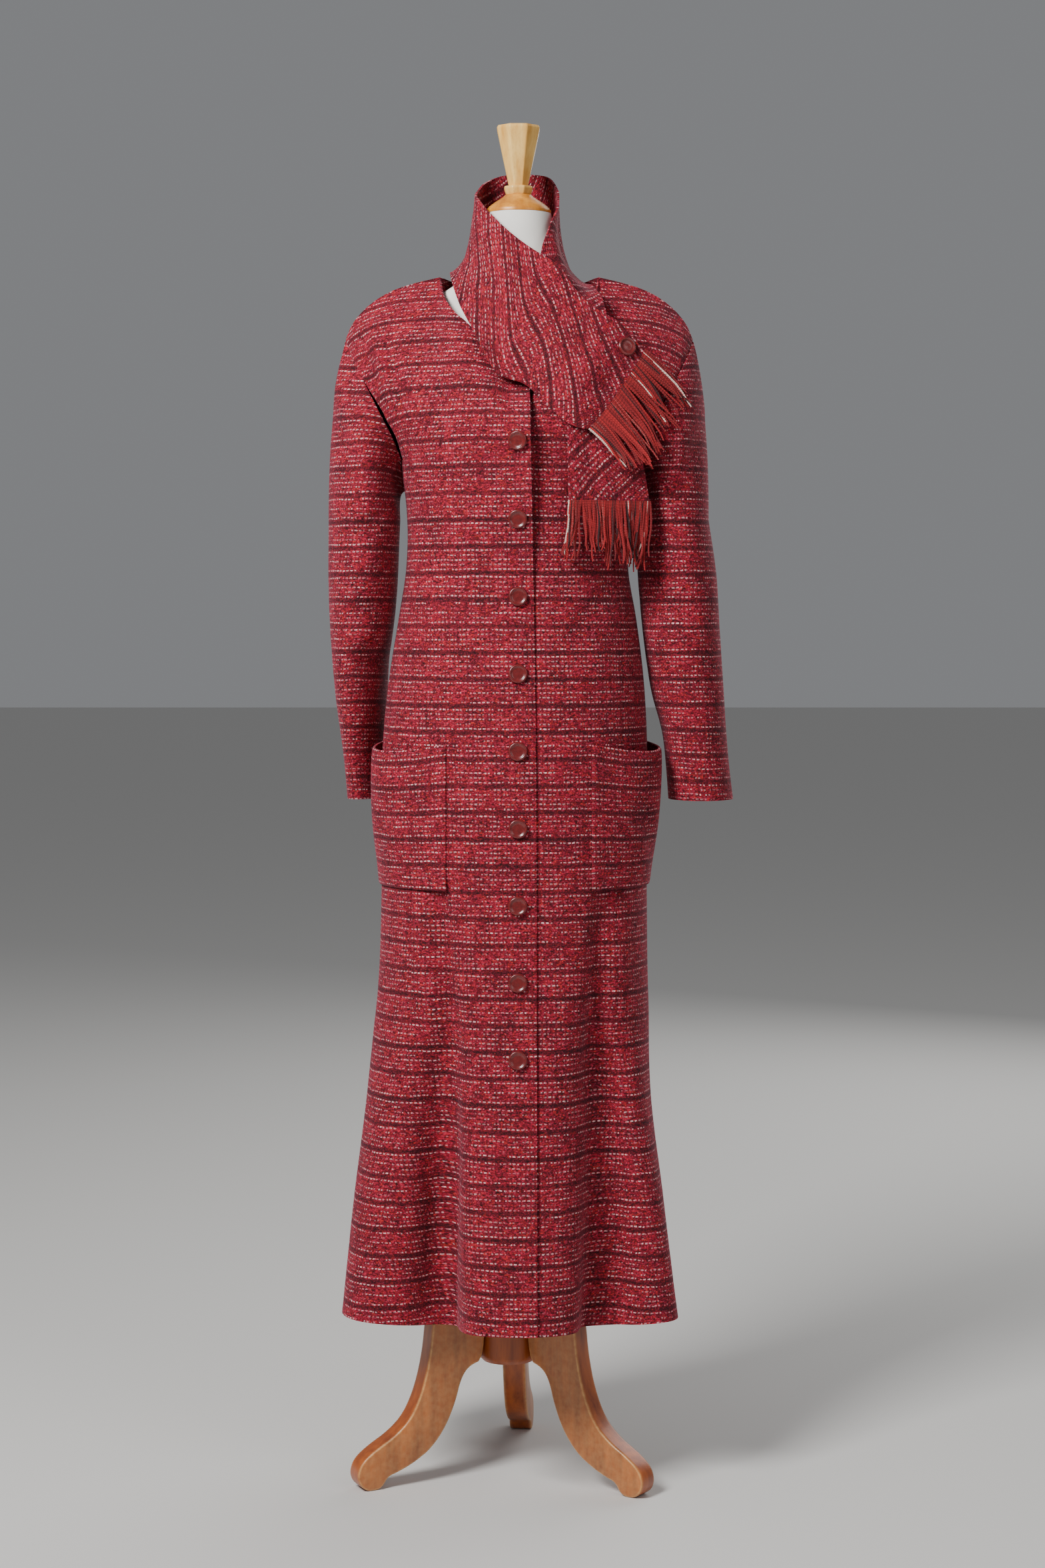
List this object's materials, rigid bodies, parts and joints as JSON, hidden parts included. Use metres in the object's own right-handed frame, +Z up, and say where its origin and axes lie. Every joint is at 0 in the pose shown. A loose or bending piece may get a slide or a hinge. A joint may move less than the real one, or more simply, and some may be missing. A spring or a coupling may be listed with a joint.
{
  "type": "long coat on a dress form with a stand",
  "caption": "Long collarless buttoned tweed coat with patch pockets and a matching fringed scarf, hanging hollow on a limbless dress form with a turned wooden tripod stand.",
  "frame": {"origin": "on the floor, midway between the outermost points left to right and front to back", "axes": "+Z up, -Y the way the coat faces, +X towards the wearer's left"},
  "size_m": [0.5176, 0.4075, 1.7195],
  "materials": {
    "tweed": "crimson wool tweed with dark stripes",
    "fringe_wool": "loose wool strands",
    "button_horn": "dark polished horn look",
    "cotton_cover": "white plain cotton",
    "cap_wood": "orange-brown lacquered",
    "honey_wood": "pale satin lacquer",
    "leg_wood": "orange-brown lacquered"
  },
  "bodies": {
    "root": {"coat_front_right": "tweed", "coat_front_left": "tweed", "coat_side_right": "tweed", "coat_side_left": "tweed", "coat_back": "tweed", "sleeve_right": "tweed", "sleeve_left": "tweed", "pocket_right": "tweed", "pocket_left": "tweed", "scarf_neck": "tweed", "scarf_end_upper": "tweed", "scarf_end_under": "tweed", "fringe_upper": "fringe_wool", "fringe_under": "fringe_wool", "button_1": "button_horn", "button_2": "button_horn", "button_3": "button_horn", "button_4": "button_horn", "button_5": "button_horn", "button_6": "button_horn", "button_7": "button_horn", "button_8": "button_horn", "button_9": "button_horn", "scarf_button": "button_horn", "form_torso": "cotton_cover", "neck_cap": "cap_wood", "finial": "honey_wood", "pole": "honey_wood", "hub": "leg_wood", "leg_right": "leg_wood", "leg_left": "leg_wood", "leg_back": "leg_wood"}
  },
  "joints": []
}
